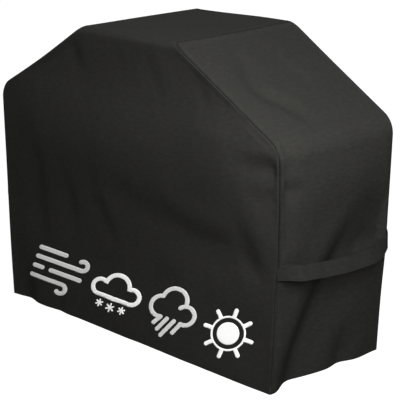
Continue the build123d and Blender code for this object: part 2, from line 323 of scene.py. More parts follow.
BACK_FOLDS = (
    (crease, [(0.34, 0.7), (0.16, 0.58), (-0.08, 0.52), (-0.34, 0.55), (-0.5, 0.62)],
     0.006, 0.04, 0.5, -1.8),
    (crease, [(-0.56, 0.838), (-0.64, 0.828), (-0.73, 0.832)], 0.006, 0.021, 0.6, -1.8, (0.5, 0.1)),
    (crease, [(0.58, 0.835), (0.66, 0.826), (0.73, 0.828)], 0.005, 0.022, 0.6, 1.8, (0.5, 0.1)),
    (crease, [(0.22, 1.15), (0.23, 1.07), (0.26, 0.97)], 0.0035, 0.03, 0.6, 1.6),
    (crease, [(-0.02, 1.15), (-0.03, 1.08), (-0.06, 1.00)], 0.003, 0.026, 0.6, 1.6),
    (crease, [(-0.3, 1.1), (-0.36, 1.02), (-0.38, 0.95)], 0.0035, 0.026, 0.6, -1.6),
    (crease, [(0.5, 0.62), (0.47, 0.4), (0.46, 0.18), (0.48, 0.0)], 0.007, 0.042, 0.5, 1.7, (0.4, 0.0)),
    (crease, [(-0.46, 0.56), (-0.52, 0.34), (-0.52, 0.16), (-0.49, 0.0)],
     0.006, 0.042, 0.5, -1.7, (0.4, 0.0)),
    (crease, [(0.12, 0.48), (0.04, 0.28), (0.02, 0.14), (0.05, 0.0)], 0.005, 0.045, 0.5, 1.6, (0.5, 0.0)),
)


def back_folds(at):
    """The back panel's shape, from (across, up)."""
    return 0.85 * stand_out(at, 0.02, 5, 1) + total(at, BACK_FOLDS) + rumple(at, 8, 95, 0.0022)


def top_folds(at):
    """The top's shape, from (across, back). It sags a little over the lid."""
    return swell(at, (0.0, 0.0), (0.2, 0.26), -0.004) + rumple(at, 5, 60, 0.0015)


RIGHT_FOLDS = (
    # slope: a soft bent valley, and a fainter one behind it
    (crease, on_slope((-0.03, 0.54), (-0.1, 0.4), (-0.147, 0.26), (-0.08, 0.15), (-0.055, 0.01)),
     0.011, 0.036, 0.3, 1.6, (0.3, 0.3)),
    (crease, on_slope((0.1, 0.48), (0.07, 0.33), (0.12, 0.2)), 0.0035, 0.045, 0.4, 1.6),
    # below the shoulder the side stands out, and is pinched beside the front seam
    (swell, (0.07, 0.735), (0.22, 0.12), 0.017),
    (crease, [(-0.29, 0.742), (-0.23, 0.726), (-0.16, 0.712)], 0.0065, 0.024, 0.3, 1.8, (0.2, 0.6), 2.0),
    # drawn in beside the front seam, and behind the rear half of the strap
    (crease, [(-0.262, 0.48), (-0.262, 0.72), (-0.262, 1.00)], 0.0065, 0.022, 0.0, 1.8, (0.3, 0.3), 2.5),
    (crease, [(0.03, 0.47), (0.13, 0.445), (0.22, 0.438), (0.31, 0.445)],
     0.015, 0.062, 0.0, 1.8, (0.5, 0.0)),
    # a long fold from high at the back to the front of the hem, steep on its front side
    (crease, [(0.25, 0.66), (0.1, 0.525), (0.03, 0.43), (-0.05, 0.32),
              (-0.105, 0.22), (-0.15, 0.12), (-0.17, 0.0)], 0.015, 0.051, 0.35, -1.9, (0.35, 0.0)),
    (crease, [(0.32, 0.6), (0.18, 0.48), (0.08, 0.38), (0.01, 0.28),
              (-0.05, 0.18), (-0.11, 0.08), (-0.135, 0.0)], 0.019, 0.094, 0.0, 1.8, (0.1, 0.0)),
    (swell, (-0.225, 0.0), (0.045, 0.1), -0.006),
    # a second one at the hem
    (crease, [(0.12, 0.2), (0.095, 0.08), (0.09, 0.0)], 0.016, 0.048, 0.3, 1.7, (0.8, 0.0)),
)


def right_folds(at):
    """The right side's and slope's shape, from (back, distance up from the hem)."""
    return total(at, RIGHT_FOLDS) + rumple(at, 11, 75, 0.0018)


LEFT_FOLDS = (
    (crease, on_slope((0.05, 0.54), (0.13, 0.38), (0.09, 0.22), (0.15, 0.04)), 0.008, 0.034, 0.5, -1.6),
    (swell, *on_slope((-0.03, 0.28)), (0.2, 0.22), -0.003),
    (crease, [(0.29, 0.785), (0.23, 0.775), (0.16, 0.755)], 0.006, 0.02, 0.6, -1.8, (0.1, 0.7)),
    (crease, [(-0.24, 0.66), (-0.12, 0.54), (-0.03, 0.42), (0.04, 0.3), (0.09, 0.16), (0.12, 0.0)],
     0.013, 0.044, 0.35, 1.9, (0.35, 0.0)),
    (crease, [(-0.3, 0.58), (-0.17, 0.46), (-0.07, 0.32), (0.02, 0.18), (0.07, 0.0)],
     0.016, 0.085, 0.0, 1.8, (0.3, 0.0)),
    (crease, [(-0.12, 0.22), (-0.11, 0.09), (-0.12, 0.0)], 0.012, 0.05, 0.3, -1.7, (0.8, 0.0)),
)


def left_folds(at):
    """The left side's and slope's shape, from (back, distance up from the hem)."""
    bulge = swell(at, (0.0, 0.73), (0.34, 0.12), 0.015) * smooth_step(0.31 - np.abs(at[:, 0]), 0.0, 0.2)
    return total(at, LEFT_FOLDS) + bulge + rumple(at, 17, 105, 0.002)


# How far the cloth stands proud of its flat pattern at the sides, the front and back, and the top
EASE = np.array([0.0035, 0.0015, 0.0025])

# Places where the whole cover, seams and all, is pushed: centre, reach along X, Y and Z, push
PUSHES = (
    ((0.73, -0.3, 0.64), (0.25, 0.22, 0.24), (0.012, 0.0, 0.0)),
    ((0.73, -0.3, 0.49), (0.2, 0.14, 0.06), (0.005, 0.0, 0.0)),
    ((0.73, -0.3, 0.12), (0.25, 0.12, 0.22), (0.006, 0.0, 0.0)),
    ((0.73, 0.31, 0.6), (0.25, 0.22, 0.32), (0.006, 0.0, 0.0)),
    ((0.73, 0.31, 0.4), (0.2, 0.2, 0.12), (0.004, 0.0, 0.0)),
    ((0.45, 0.31, 1.05), (0.34, 0.24, 0.24), (0.001, 0.002, 0.002)),
    ((0.16, 0.31, 1.17), (0.24, 0.2, 0.15), (0.0, 0.004, 0.008)),
    ((-0.5, -0.28, 1.03), (0.28, 0.2, 0.2), (0.004, 0.0, -0.008)),
    ((-0.72, -0.29, 0.22), (0.2, 0.2, 0.28), (-0.004, 0.0, 0.0)),
    ((0.72, -0.08, 0.0), (0.25, 0.22, 0.2), (-0.012, 0.0, 0.0)),
    ((-0.63, -0.295, 0.0), (0.045, 0.2, 0.14), (0.0, 0.008, 0.0)),
    ((-0.5, -0.295, 0.0), (0.05, 0.2, 0.14), (0.0, -0.004, 0.0)),
    ((0.45, -0.295, 0.0), (0.45, 0.2, 0.2), (0.0, -0.006, 0.0)),
    ((-0.72, 0.02, 0.0), (0.25, 0.2, 0.18), (0.008, 0.0, 0.0)),
    ((-0.73, 0.3, 0.55), (0.25, 0.22, 0.28), (-0.005, 0.0, 0.0)),
    ((0.1, 0.295, 0.0), (0.3, 0.2, 0.16), (0.0, 0.005, 0.0)),
)


def warp(points):
    """These points with the ease, which grows outwards and upwards, and the pushes added."""
    x, y, z = points.T
    shift = np.stack([np.sign(x) * smooth_step(np.abs(x), 0.15, 0.70),
                      np.sign(y) * smooth_step(np.abs(y), 0.05, 0.28),
                      smooth_step(z, 0.85, 1.10)], 1) * EASE
    for centre, reach, push in PUSHES:
        offset = (points - np.array(centre)) / np.array(reach)
        shift += np.exp(-(offset ** 2).sum(1))[:, None] * np.array(push)
    return points + shift


# ---- Placing points on the cloth ----


EDGE_SPARE = 0.04  # how far an edge's points go on past the hem
EDGE_CLOSE = 0.06  # length with closer points


class Edge:
    """A panel's sewn edge in its flat plane, with the angle that the two cloths turn through there."""

    def __init__(self, points, turns):
        self.points, self.turns = np.array(points), np.array(turns)
        self.tree = KDTree(len(points))
        for i, p in enumerate(self.points):
            self.tree.insert((p[0], p[1], 0), i)
        self.tree.balance()

    def nearest(self, at):
        """The way in from the nearest part of the edge to each point, its distance and its turn."""
        index = np.array([self.tree.find((x, y, 0))[1] for x, y in at])
        best = np.full(len(at), np.inf)
        inward = np.zeros_like(at)
        for k in (-1, 0):
            a = self.points[np.clip(index + k, 0, len(self.points) - 2)]
            b = self.points[np.clip(index + k, 0, len(self.points) - 2) + 1]
            step = b - a
            share = np.clip(((at - a) * step).sum(1) / (step ** 2).sum(1), 0, 1)[:, None]
            p = a + share * step
            d = np.linalg.norm(at - p, axis=1)
            way_in = normals(unit(step), 1)
            inward = np.where((d < best)[:, None], way_in, inward)
            best = np.minimum(best, d)
        return inward, best, self.turns[index]


def roll_in(gap, turn):
    """A point this far from a seam, rolled into it: its new distance from the corner line and its depth."""
    half = (math.pi - turn) / 2
    start = SEAM_ROLL / np.tan(half / 2)
    angle = (math.pi / 2 + turn / 2) * (1 - np.clip(gap / start, 0, 1))
    rolled = start - SEAM_ROLL * np.sin(angle) - SEAM_PRESS * (1 - gap / start)
    across = np.where(gap < start, rolled, gap)
    return across, SEAM_ROLL * (1 - np.cos(angle))


def turn_between(body_tangent, end_tangent):
    """The angle that the two cloths turn through at a seam."""
    return np.arccos(np.clip(normals(body_tangent, 1)[:, 1] * normals(end_tangent, -1)[:, 1], -1, 1))


def body_edge():
    v = np.linspace(-EDGE_SPARE, body_path.length + EDGE_SPARE, 2400)
    position, tangent = body_path.at(v)
    height = np.clip(position[:, 1], 0, HEIGHT)
    turn = turn_between(tangent, end_tangent_at(height))
    return Edge(np.stack([half_width_at(height), v], 1), turn)


def end_edge():
    # its points come closer and closer together towards the top corner
    s = np.concatenate([np.linspace(-EDGE_SPARE, end_path.length - EDGE_CLOSE, 1400),
                        end_path.length - EDGE_CLOSE * np.linspace(1, 0, 500)[1:] ** 2])
    position, tangent = end_path.at(s)
    height = np.clip(position[:, 1], 0, HEIGHT)
    body_tangent = body_path.at(np.interp(height, front_fine[:, 1], fine_front))[1]
    turn = turn_between(body_tangent, tangent)
    side = np.stack([half_depth_at(height), s], 1)
    top = row_at(np.linspace(side[-1, 0], 0, 300)[1:], end_path.length)
    return Edge(np.vstack([side, top]), np.concatenate([turn, np.full(len(top), turn[-1])]))


class Panel:
    """A cloth panel: its flat plane, how that wraps round the cover, its sewn edge and its folds."""

    hand = 1  # -1 where the flat plane is mirrored on the cover
    puff = SEAM_PUFF
    groove_shade = 1.0  # how wide the painted shade in the groove beside its seams reaches

    def __init__(self, edge):
        self.edge = edge

    def place(self, at, lift=0.0):
        """Points of the flat plane on the finished cover, raised by lift, and their distance to a seam."""
        sign = np.where(at[:, 0] < 0, -1.0, 1.0)
        folded = np.stack([np.abs(at[:, 0]), at[:, 1]], 1)
        inward, gap, turn = self.edge.nearest(folded)
        across, depth = roll_in(gap, turn)
        depth -= self.puff * np.exp(-((gap - PUFF_MIDDLE) / PUFF_WIDTH) ** 2)
        moved = folded + inward * (across - gap)[:, None]
        moved[:, 0] *= sign
        point, normal = self.wrap(moved)
        free = smooth_step(gap, FOLDS_START, FOLDS_FULL)
        out = self.folds(at) * free - depth + lift
        return warp(point + normal * np.broadcast_to(out, gap.shape)[:, None]), gap


class BodyPanel(Panel):
    def wrap(self, at):
        position, tangent = body_path.at(at[:, 1])
        side = normals(tangent, 1)
        point = np.stack([at[:, 0], position[:, 0], position[:, 1]], 1)
        normal = np.stack([np.zeros(len(at)), side[:, 0], side[:, 1]], 1)
        return point, normal

    def folds(self, at):
        x, v = at[:, 0], at[:, 1]
        over = TOP_START - FOLD_LENGTH / 2
        back = BACK_START + FOLD_LENGTH / 2
        fade = 0.06  # the length over which each part's folds die out beside the folds of the top
        front = front_folds(np.stack([x, np.abs(v)], 1)) * (1 - smooth_step(v, over - fade, over))
        middle = smooth_step(v, over, over + fade) * (1 - smooth_step(v, back - fade, back))
        top = top_folds(np.stack([x, v - (over + back) / 2], 1)) * middle
        up = body_path.length - v
        rear = back_folds(np.stack([x, np.abs(up)], 1)) * smooth_step(v, back, back + fade)
        return front + top + rear


class EndPanel(Panel):
    puff = 0.0002  # less than the front and back, because the seam allowances lie under those
    groove_shade = 2.2  # and the painted shade in its groove reaches further, for it lies in their shade

    def __init__(self, edge, side, shape):
        super().__init__(edge)
        self.side, self.shape = side, shape
        self.hand = side

    def wrap(self, at):
        position, tangent = end_path.at(at[:, 1])
        out = normals(tangent, -1)
        point = np.stack([self.side * position[:, 0], at[:, 0], position[:, 1]], 1)
        normal = np.stack([self.side * out[:, 0], np.zeros(len(at)), out[:, 1]], 1)
        return point, normal

    def folds(self, at):
        return self.shape(np.stack([at[:, 0], np.abs(at[:, 1])], 1))


body = BodyPanel(body_edge())
end_panel_edge = end_edge()
right_end = EndPanel(end_panel_edge, 1, right_folds)
left_end = EndPanel(end_panel_edge, -1, left_folds)


# ---- Mesh helpers ----


def new_object(name, points, faces, smooth=True):
    mesh = bpy.data.meshes.new(name)
    mesh.from_pydata([tuple(p) for p in points], [], faces)
    mesh.update()
    mesh.polygons.foreach_set("use_smooth", [smooth] * len(mesh.polygons))
    obj = bpy.data.objects.new(name, mesh)
    bpy.context.scene.collection.objects.link(obj)
    return obj


def tube_faces(count, around, base=0, flip=False):
    """The faces of a capped tube of rings, where base is its first point."""
    faces = []
    for i in range(count - 1):
        for k in range(around):
            a, b = base + i * around + k, base + i * around + (k + 1) % around
            faces.append((a, a + around, b + around, b) if flip else (a, b, b + around, a + around))
    first = tuple(range(base, base + around))
    last = tuple(k + (count - 1) * around for k in first)
    return faces + ([first, last[::-1]] if flip else [first[::-1], last])


def grid_faces(rows, columns, flip=False):
    i, j = np.meshgrid(np.arange(rows - 1), np.arange(columns - 1), indexing="ij")
    a = (i * columns + j).ravel()
    quads = np.stack([a, a + 1, a + columns + 1, a + columns], 1)
    return (quads[:, ::-1] if flip else quads).tolist()


def set_uv(obj, coordinates):
    """Flat cloth coordinates in metres, for the weave."""
    layer = obj.data.uv_layers.new(name="Cloth")
    corners = np.zeros(len(obj.data.loops), int)
    obj.data.loops.foreach_get("vertex_index", corners)
    layer.data.foreach_set("uv", np.asarray(coordinates)[corners].astype(np.float32).ravel())


def set_value(obj, name, values):
    attribute = obj.data.attributes.new(name, "FLOAT", "POINT")
    attribute.data.foreach_set("value", np.asarray(values, np.float32))


def thicken(obj, thickness, inner_slot=0):
    """Give a sheet its thickness, inwards, with the material in this slot on its inside."""
    solid = obj.modifiers.new("Thickness", "SOLIDIFY")
    solid.thickness = thickness
    solid.offset = -1
    solid.material_offset = inner_slot
    evaluated = obj.evaluated_get(bpy.context.evaluated_depsgraph_get())
    mesh = bpy.data.meshes.new_from_object(evaluated)
    obj.modifiers.clear()
    obj.data = mesh


# ---- Panels ----

# The turned-up hem, from its raw edge inside to the outside face: height, and how far in
HEM_BEND = CLOTH + 0.0001
HEM_ROWS = (
    (-HEM_TURN_UP, 2 * HEM_BEND), (-0.018, 2 * HEM_BEND), (-0.008, 2 * HEM_BEND),
    (-0.0022, 1.95 * HEM_BEND), (-0.0006, 1.6 * HEM_BEND), (0.0, HEM_BEND), (0.0005, 0.35 * HEM_BEND),
    (0.002, 0.0), (0.006, 0.0),
)


def even(start, stop, step):
    """Evenly spaced values after start, up to and with stop."""
    count = max(1, round(abs(stop - start) / step))
    return list(np.linspace(start, stop, count + 1)[1:])


def make_panel(name, panel, rows, half_width, slant, flip=False):
    """A panel's cloth from rows of (place along it, distance on its outside face, inset).

    Its columns are close together beside both sewn edges.
    """
    edge = np.array(EDGE_STEPS)
    inner = np.linspace(-1, 1, round(2 * (half_width.max() - edge[-1]) / CELL) + 1)[1:-1]
    flat, at, inset = [], [], []
    for (place, surface, depth), half, s in zip(rows, half_width, slant):
        side = half - edge / s
        across = np.concatenate([-side, inner * side[-1], side[::-1]])
        flat.append(row_at(across, place))
        at.append(row_at(across, surface))
        inset.append(np.full(len(across), -depth))
    columns = len(flat[0])
    points, gap = panel.place(np.vstack(at), np.concatenate(inset))
    obj = new_object(name, points, grid_faces(len(rows), columns, flip))
    set_uv(obj, np.vstack(flat))
    set_value(obj, "seam_gap", gap / panel.groove_shade)
    obj.data.materials.append(cloth_material)
    obj.data.materials.append(backing_material)
    thicken(obj, CLOTH, inner_slot=1)
    return obj


def make_body_cloth():
    length = body_path.length
    near = [(place, abs(place), inset) for place, inset in HEM_ROWS]
    far = [(length - place, length - abs(place), inset) for place, inset in HEM_ROWS[::-1]]
    start = HEM_ROWS[-1][0]
    fold = list(np.linspace(FRONT_LENGTH, TOP_START, 8)[1:])
    back_fold = list(np.linspace(BACK_START, BACK_START + FOLD_LENGTH, 8)[1:])
    between = (even(start, FRONT_LENGTH, CELL) + fold + even(TOP_START, BACK_START, CELL) + back_fold
               + even(BACK_START + FOLD_LENGTH, length - start, CELL)[:-1])
    rows = near + [(v, v, 0.0) for v in between] + far
    position = body_path.at([row[1] for row in rows])[0]
    height = position[:, 1]
    steep = np.abs(end_tangent_at(height)[:, 1])
    level = smooth_step(height, HEIGHT - TOP_FOLD, HEIGHT)
    return make_panel("body_cloth", body, rows, half_width_at(height), steep + (1 - steep) * level)


def make_end_cloth(name, panel, flip):
    start = HEM_ROWS[-1][0]
    top = [end_path.length - step for step in EDGE_STEPS[::-1]]
    rows = [(place, abs(place), inset) for place, inset in HEM_ROWS]
    rows += [(s, s, 0.0) for s in even(start, top[0], CELL) + top[1:]]
    half_width = half_depth_at(end_path.at([row[1] for row in rows])[0][:, 1])
    return make_panel(name, panel, rows, half_width, np.ones(len(rows)), flip)


# ---- Stitches ----

STITCH_PITCH = 0.0042
STITCH_LENGTH = 0.0033
THREAD_RADIUS = 0.0003


def resample(line, spacing):
    """Points this far apart along a line of points, and the share of its length at each."""
    run = lengths_along(line)
    share = np.arange(spacing / 2, run[-1], spacing)
    return np.stack([np.interp(share, run, line[:, k]) for k in range(3)], 1), share / run[-1]


def stitch_mesh(name, rows, pitch=STITCH_PITCH, length=STITCH_LENGTH):
    """Separate lock stitches along rows of (line of points, outward normals), as one piece."""
    # a stitch's rings: place along it, rise and fatness; its ends dip into the cloth
    rings = ((-0.5, -0.8, 0.75), (-0.4, 0.35, 1.0), (0.0, 0.75, 1.08), (0.4, 0.35, 1.0), (0.5, -0.8, 0.75))
    sides = 6
    points, faces = [], []
    for line, normal in rows:
        centre, share = resample(line, pitch)
        source = np.linspace(0, 1, len(line))
        outward = np.stack([np.interp(share, source, normal[:, k]) for k in range(3)], 1)
        along = unit(np.gradient(centre, axis=0))
        outward = unit(outward - (outward * along).sum(1)[:, None] * along)
        across = np.cross(along, outward)
        for c, t, n, b in zip(centre, along, outward, across):
            faces += tube_faces(len(rings), sides, len(points), flip=True)
            for place, rise, fat in rings:
                middle = c + t * place * length + n * rise * THREAD_RADIUS
                for k in range(sides):
                    turn = 2 * math.pi * k / sides
                    points.append(middle + THREAD_RADIUS * fat * (math.cos(turn) * b + math.sin(turn) * n))
    obj = new_object(name, points, faces)
    obj.data.materials.append(thread_material)
    return obj


def on_panel(panel, flat, lift=0.0):
    """Points on a panel's outside face and the outward normals there."""
    flat = np.asarray(flat, float)
    step = 0.002
    here = panel.place(flat, lift)[0]
    right = panel.place(flat + (step, 0), lift)[0] - here
    up = panel.place(flat + (0, step), lift)[0] - here
    normal = np.cross(right, up) * panel.hand
    return here, unit(normal)


# ---- Seam bindings, inside ----

BINDING_WIDTH = 0.012
BINDING_STEP = 0.006  # spacing of its rings along the seam
BINDING_THREAD = 0.0015, 0.008  # its two rows of stitches: out from its middle, and in from the seam
BINDING_STITCH = 0.0055, 0.0042  # their pitch and length
# Half of the tape's cross-section: across the seam and inwards
BINDING_HALF = ((0.0009, -0.0004), (0.0010, 0.0012), (0.0014, 0.0016), (0.0015, 0.004), (0.0014, 0.0075),
                (0.0015, 0.0105), (0.0012, 0.0115), (0.0006, 0.0120))


def seam_frames(side):
    """Along a seam on the given side: points at its bottom, inward and across directions."""
    v = np.arange(HEM_TURN_UP, body_path.length - HEM_TURN_UP, BINDING_STEP)
    position, tangent = body_path.at(v)
    height = np.clip(position[:, 1], 0, HEIGHT)
    flat = np.stack([side * half_width_at(height), v], 1)
    points = body.place(flat)[0]
    body_normal = normals(tangent, 1)
    end_normal = normals(end_tangent_at(height), -1)
    out = np.stack([side * end_normal[:, 0], body_normal[:, 0], end_normal[:, 1] + body_normal[:, 1]], 1)
    inward = -unit(out)
    across = unit(np.cross(unit(np.gradient(points, axis=0)), inward))
    return points, inward, across, v


def loft(name, rings):
    """A piece through closed rings of the same number of points, with both ends capped."""
    obj = new_object(name, np.vstack(rings), tube_faces(len(rings), len(rings[0])))
    cap_edges = {tuple(sorted(pair)) for cap in obj.data.polygons[-2:] for pair in cap.edge_keys}
    for edge in obj.data.edges:
        edge.use_edge_sharp = tuple(sorted(edge.vertices)) in cap_edges
    return obj


def make_binding(prefix, side):
    points, inward, across, v = seam_frames(side)
    outline = [(a, b) for a, b in BINDING_HALF] + [(-a, b) for a, b in BINDING_HALF[::-1]]
    # the tape wanders a little from side to side
    sway = 0.0012 * np.sin(v * 9 + side) + 0.0008 * np.sin(v * 23 + 1)
    rings = [p + np.array([(a + w * b / BINDING_WIDTH) * c + b * i for a, b in outline])
             for p, i, c, w in zip(points, inward, across, sway)]
    tape = loft(prefix + "_seam_tape", rings)
    tape.data.materials.append(tape_material)
    out, depth = BINDING_THREAD
    shift = across * (sway * 0.66)[:, None] + inward * depth
    rows = [(points + shift + across * hand * out, across * hand) for hand in (-1, 1)]
    thread = stitch_mesh(prefix + "_seam_stitches", rows, *BINDING_STITCH)
    return tape, thread


# ---- Carrying handles ----

STRAP_WIDTH = 0.057
STRAP_HALF_THICKNESS = 0.0013
STRAP_HEIGHT = 0.452
STRAP_SAG = ((0.0, 0.0), (0.08, 0.003), (0.20, 0.011), (0.36, 0.023), (0.55, 0.032), (0.72, 0.036),
             (0.86, 0.036), (0.94, 0.022), (1.0, 0.0))  # it hangs lower towards the back
# Its plan: how far out from its root, and how far from the front seam (or, at the end, the rear seam)
STRAP_STANDOFF = 0.046
STRAP_BOW = 0.004
STRAP_FRONT_RAMP = 0.080
STRAP_REAR_RAMP = 0.150
STRAP_KNEE = 0.012
STRAP_KNEE_STANDOFF = 0.011
STRAP_TILT = math.radians(19), math.radians(31)  # how far its lower edge swings outwards, front and rear
STRAP_EDGE_ROUND = 0.0016
STRAP_THREAD_INSET = 0.005
STRAP_THREAD_DIP = 0.00035  # how deep the stitches pull the cloth in
STRAP_THREAD_START = 0.010  # length without stitches at each end
STRAP_HIDDEN = 0.0052  # length of each end inside its seam
CURL = SEAM_ROLL + STRAP_HALF_THICKNESS  # radius with which it comes out of the seam


def strap_outline():
    """Cross-section: down the strap's width, and out from its middle layer."""
    half = STRAP_WIDTH / 2
    row = half - STRAP_THREAD_INSET
    upper = [half, half - 0.0003, half - 0.0010, half - 0.0022, row + 0.0011, row, row - 0.0011]
    w = np.concatenate([np.negative(upper), np.linspace(-row + 0.004, row - 0.004, 9), upper[::-1]])
    from_edge = half - np.abs(w)
    inside = (1 - from_edge / STRAP_EDGE_ROUND).clip(0, 1)
    thick = STRAP_HALF_THICKNESS * np.sqrt(1 - inside ** 2)
    thick -= STRAP_THREAD_DIP * np.exp(-((np.abs(w) - row) / 0.0009) ** 2)
    outer = np.stack([w, thick], 1)
    inner = np.stack([w, -thick], 1)[-2:0:-1]
    return np.vstack([outer, inner])


def strap_frames(side, s, path):
    """Middle line, downward width direction and outward direction at distances s along the strap."""
    plan, tangent = path.at(s)
    share = s / path.length
    arch = 4 * share * (1 - share)
    sag = curve_through(STRAP_SAG, 200)
    drop = np.interp(share, sag[:, 0], sag[:, 1])
    middle = np.stack([side * plan[:, 0], plan[:, 1], STRAP_HEIGHT - drop], 1)
    out = np.stack([side * tangent[:, 1], -tangent[:, 0], np.zeros(len(s))], 1)
    tilt = STRAP_TILT[0] + (STRAP_TILT[1] - STRAP_TILT[0]) * share
    tilt *= smooth_step(np.minimum(share, 1 - share), 0.0, 0.22)
    # shallow waves along it, none at its ends
    wave = (0.0008 * np.sin(s * 41 + side) + 0.0006 * np.sin(s * 73 + 2)) * arch
    up = np.array([0.0, 0.0, 1.0])
    down = -up * np.cos(tilt)[:, None] + out * np.sin(tilt)[:, None]
    face = out * np.cos(tilt)[:, None] + up * np.sin(tilt)[:, None]
    roots = np.array([[side * half_width_at(STRAP_HEIGHT), y * half_depth_at(STRAP_HEIGHT), STRAP_HEIGHT]
                      for y in (-1, 1)])
    moved = warp(roots) - roots
    shift = moved[0] * (1 - share)[:, None] + moved[1] * share[:, None]
    return middle + shift + face * wave[:, None], down, face


def strap_path():
    """The strap from above, from inside the front seam to inside the rear one."""
    x, y = float(half_width_at(STRAP_HEIGHT)), float(half_depth_at(STRAP_HEIGHT))
    corner = SEAM_ROLL - 0.0001  # how far in from the cover's corner it leaves the seam
    hidden = STRAP_HIDDEN
    return Path(
        [(x - corner - hidden, -y + corner / 2 + hidden), (x - corner, -y + corner / 2),
         (x + STRAP_STANDOFF, -y + STRAP_FRONT_RAMP), (x + STRAP_STANDOFF + STRAP_BOW, 0.0),
         (x + STRAP_STANDOFF, y - STRAP_REAR_RAMP), (x + STRAP_KNEE_STANDOFF, y - STRAP_KNEE),
         (x - corner, y - corner / 2), (x - corner - hidden, y - corner / 2 - hidden)],
        [CURL, 0.060, 1.0, 0.150, 0.008, CURL],
    )


def make_strap(prefix, side):
    """Both halves of a strap with their stitches: each half bends where it leaves its seam."""
    path = strap_path()
    outline = strap_outline()
    half = path.length / 2
    # its rings are closest where it bends out of the seam
    bend, ramp = 0.016, 0.11  # how far that goes, and how far they are still close
    from_seam = np.concatenate([np.linspace(0, bend, 12), np.linspace(bend, ramp, 22)[1:],
                                np.linspace(ramp, half, 34)[1:]])
    made = []
    for end, s in (("front", from_seam), ("rear", path.length - from_seam[::-1])):
        middle, down, face = strap_frames(side, s, path)
        rings = [m + np.outer(outline[:, 0], d) + np.outer(outline[:, 1], f)
                 for m, d, f in zip(middle, down, face)]
        strap = loft(f"{prefix}_handle_{end}_half", rings)
        set_uv(strap, np.stack([np.repeat(s, len(outline)), np.tile(lengths_along(outline), len(s))], 1))
        set_value(strap, "seam_gap", np.full(len(s) * len(outline), 1.0))
        strap.data.materials.append(strap_material)
        shown = (s > STRAP_THREAD_START) & (s < path.length - STRAP_THREAD_START)
        rows = []
        for edge in (-1, 1):
            row = middle + down * edge * (STRAP_WIDTH / 2 - STRAP_THREAD_INSET)
            for hand in (-1, 1):
                line = row + face * hand * (STRAP_HALF_THICKNESS - STRAP_THREAD_DIP)
                rows.append((line[shown], (face * hand)[shown]))
        thread = stitch_mesh(f"{prefix}_handle_{end}_stitches", rows)
        made.append((end, strap, thread))
    return made


# ---- Printed symbols ----

INK_SLICE = 0.007  # the symbols are cut this fine, so that they follow the folds
INK_LIFT = 0.0003
INK_THICKNESS = 0.0004


def make_print(node, material):
    """A CAD symbol's front face, laid over the folds of the front."""
    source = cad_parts[node]
    mesh = bmesh.new()
    mesh.from_mesh(source.data)
    mesh.normal_update()
    back = [f for f in mesh.faces if f.normal.y > -0.7]
    bmesh.ops.delete(mesh, geom=back, context="FACES")
    bmesh.ops.remove_doubles(mesh, verts=mesh.verts, dist=1e-6)
    low = np.min([v.co for v in mesh.verts], axis=0)
    high = np.max([v.co for v in mesh.verts], axis=0)
    for axis in (0, 2):
        for place in np.arange(low[axis] + INK_SLICE / 2, high[axis], INK_SLICE):
            point, normal = [0.0, 0.0, 0.0], [0.0, 0.0, 0.0]
            point[axis], normal[axis] = place, 1.0
            everything = list(mesh.verts) + list(mesh.edges) + list(mesh.faces)
            bmesh.ops.bisect_plane(mesh, geom=everything, plane_co=point, plane_no=normal)
    bmesh.ops.triangulate(mesh, faces=mesh.faces)
    obj = new_object(node.replace("_print", "_ink"), [], [])
    mesh.to_mesh(obj.data)
    mesh.free()
    co = np.array([v.co for v in obj.data.vertices])
    lean = body_path.runs[0][2]
    flat = np.stack([co[:, 0], co[:, 2] / lean[1]], 1)
    placed = body.place(flat, INK_LIFT)[0]
    obj.data.vertices.foreach_set("co", placed.astype(np.float32).ravel())
    obj.data.polygons.foreach_set("use_smooth", [True] * len(obj.data.polygons))
    set_uv(obj, flat)
    obj.data.materials.append(material)
    thicken(obj, INK_THICKNESS)
    return obj


# ---- Materials ----


